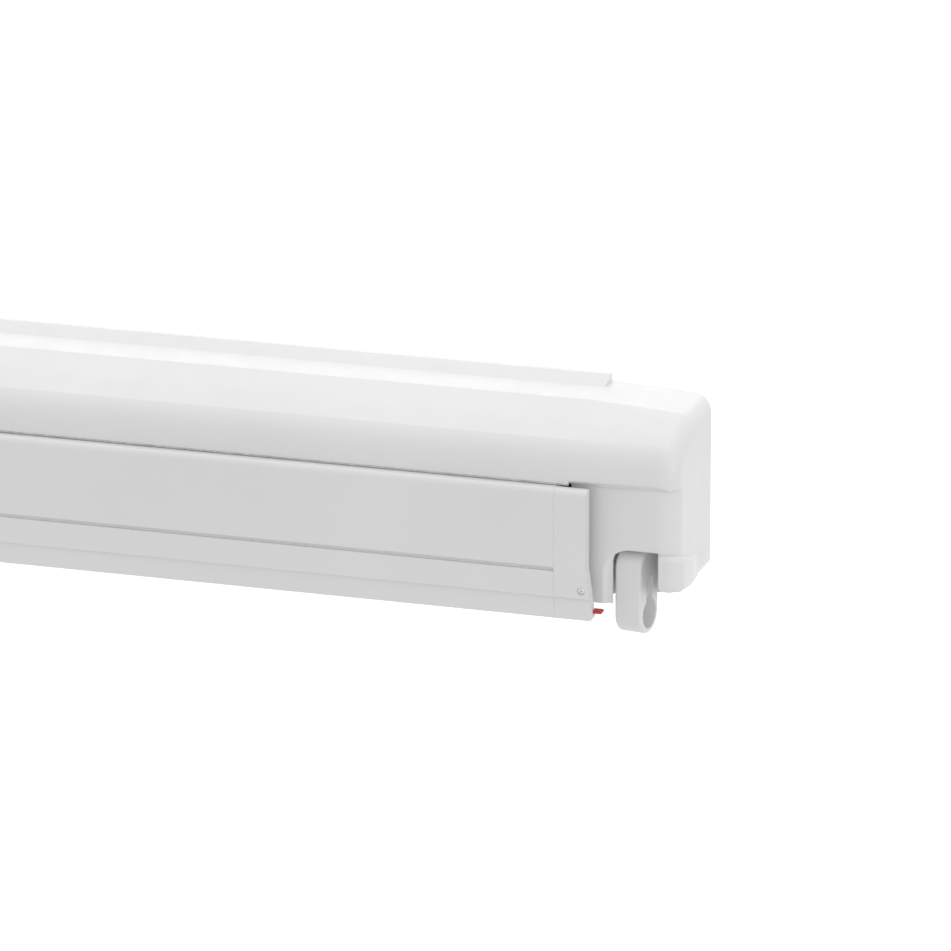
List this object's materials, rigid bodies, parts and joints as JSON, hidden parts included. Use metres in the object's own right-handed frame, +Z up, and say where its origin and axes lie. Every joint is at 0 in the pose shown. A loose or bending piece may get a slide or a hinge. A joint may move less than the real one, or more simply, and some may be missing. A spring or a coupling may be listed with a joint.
{
  "type": "roll out awning",
  "caption": "Wall-hung cassette awning: a long white case with a crank winch, a cloth on a roller, folding arms and a front bar that stores telescopic legs.",
  "frame": {"origin": "middle of the case's flat back face, which lies on the vehicle's wall", "axes": "+X along the case towards the winch end, +Y into the wall, +Z up"},
  "size_m": [2.3, 0.103, 0.143],
  "materials": {
    "white_coat": "smooth satin white powder coat",
    "white_plastic": "moulded white, satin",
    "anodised": "natural anodised extrusion",
    "cast": "bead-blasted die casting",
    "steel": "bright zinc-plated steel",
    "nylon": "black nylon",
    "seal_rubber": "soft black seal",
    "cloth": "coated awning cloth, striped",
    "red_plastic": "moulded red"
  },
  "bodies": {
    "case": {"case_housing": "white_coat", "end_cap_left": "white_plastic", "end_cap_right": "white_plastic", "gear_cover": "cast", "gear_housing": "cast", "lip_seal": "seal_rubber", "roller_support_left": "steel", "roller_support_right": "steel", "shaft_bush": "nylon", "shoulder_bracket_left": "cast", "shoulder_bracket_right": "cast", "shoulder_pin_left": "steel", "shoulder_pin_right": "steel"},
    "roller": {"fabric_roll": "cloth", "roller_plug_left": "nylon", "roller_plug_right": "nylon", "roller_tube": "anodised", "worm_wheel": "nylon"},
    "crank": {"crank_eye": "white_plastic", "crank_shaft": "steel"},
    "lead_bar": {"bar_end_left": "white_plastic", "bar_end_right": "white_plastic", "bar_screw_left": "steel", "bar_screw_right": "steel", "bar_skirt": "white_coat", "lead_bar": "white_coat", "leg_guard": "white_coat", "leg_hinge_left": "cast", "leg_hinge_right": "cast", "leg_release_left": "red_plastic", "leg_release_right": "red_plastic", "wrist_bracket_left": "cast", "wrist_bracket_right": "cast", "wrist_pin_left": "steel", "wrist_pin_right": "steel"},
    "cloth": {"fabric_span": "cloth"},
    "left_inner_arm": {"elbow_fork_left": "cast", "elbow_pin_left": "steel", "inner_arm_left": "anodised", "shoulder_knuckle_left": "cast"},
    "left_outer_arm": {"elbow_knuckle_left": "cast", "outer_arm_left": "anodised", "wrist_eye_left": "cast"},
    "left_leg": {"leg_collar_left": "nylon", "leg_knuckle_left": "nylon", "leg_outer_left": "anodised"},
    "left_leg_tube": {"leg_foot_left": "nylon", "leg_inner_left": "anodised"},
    "right_inner_arm": {"elbow_fork_right": "cast", "elbow_pin_right": "steel", "inner_arm_right": "anodised", "shoulder_knuckle_right": "cast"},
    "right_outer_arm": {"elbow_knuckle_right": "cast", "outer_arm_right": "anodised", "wrist_eye_right": "cast"},
    "right_leg": {"leg_collar_right": "nylon", "leg_knuckle_right": "nylon", "leg_outer_right": "anodised"},
    "right_leg_tube": {"leg_foot_right": "nylon", "leg_inner_right": "anodised"}
  },
  "joints": [
    {"name": "left_shoulder", "type": "hinge", "parent": "case", "child": "left_inner_arm", "pos_m": [-1.02, -0.024, -0.027], "axis": [0, 0, -1], "range_deg": [0, 68]},
    {"name": "left_elbow", "type": "hinge", "parent": "left_inner_arm", "child": "left_outer_arm", "pos_m": [-0.07, -0.038, -0.027], "axis": [0, 0, 1], "range_deg": [0, 136]},
    {"name": "left_wrist", "type": "hinge", "parent": "left_outer_arm", "child": "lead_bar", "pos_m": [-1.02, -0.052, -0.027], "axis": [0, 0, -1], "range_deg": [0, 68]},
    {"name": "right_shoulder", "type": "hinge", "parent": "case", "child": "right_inner_arm", "pos_m": [1.02, -0.024, -0.027], "axis": [0, 0, 1], "range_deg": [0, 68]},
    {"name": "right_elbow", "type": "hinge", "parent": "right_inner_arm", "child": "right_outer_arm", "pos_m": [0.07, -0.038, -0.027], "axis": [0, 0, -1], "range_deg": [0, 136]},
    {"name": "roller_spin", "type": "hinge", "parent": "case", "child": "roller", "pos_m": [0, -0.047, 0.02], "axis": [-1, 0, 0], "range_deg": [0, 3744]},
    {"name": "crank_spin", "type": "hinge", "parent": "case", "child": "crank", "pos_m": [1.118, -0.0733, -0.069], "axis": [0, 0, 1], "range_deg": [0, 14976]},
    {"name": "cloth_payout", "type": "slide", "parent": "lead_bar", "child": "cloth", "axis": [0, 1, 0], "range_m": [0, 1.74414], "deforming": ["fabric_span"]},
    {"name": "left_leg_swing", "type": "hinge", "parent": "lead_bar", "child": "left_leg", "pos_m": [-1.062, -0.087, -0.055], "axis": [0, 1, 0], "range_deg": [0, 90]},
    {"name": "left_leg_extend", "type": "slide", "parent": "left_leg", "child": "left_leg_tube", "axis": [1, 0, 0], "range_m": [0, 0.9]},
    {"name": "right_leg_swing", "type": "hinge", "parent": "lead_bar", "child": "right_leg", "pos_m": [1.062, -0.064, -0.055], "axis": [0, -1, 0], "range_deg": [0, 90]},
    {"name": "right_leg_extend", "type": "slide", "parent": "right_leg", "child": "right_leg_tube", "axis": [-1, 0, 0], "range_m": [0, 0.9]}
  ],
  "couplings": [
    {"joint": "left_elbow", "follows": "left_shoulder", "ratio": 2},
    {"joint": "left_wrist", "follows": "left_shoulder", "ratio": 1},
    {"joint": "right_shoulder", "follows": "left_shoulder", "ratio": 1},
    {"joint": "right_elbow", "follows": "left_shoulder", "ratio": 2},
    {"joint": "roller_spin", "follows": "left_shoulder", "ratio": 55.059},
    {"joint": "crank_spin", "follows": "left_shoulder", "ratio": 220.24},
    {"joint": "cloth_payout", "follows": "left_shoulder", "m_per_rad": 1.4696}
  ]
}
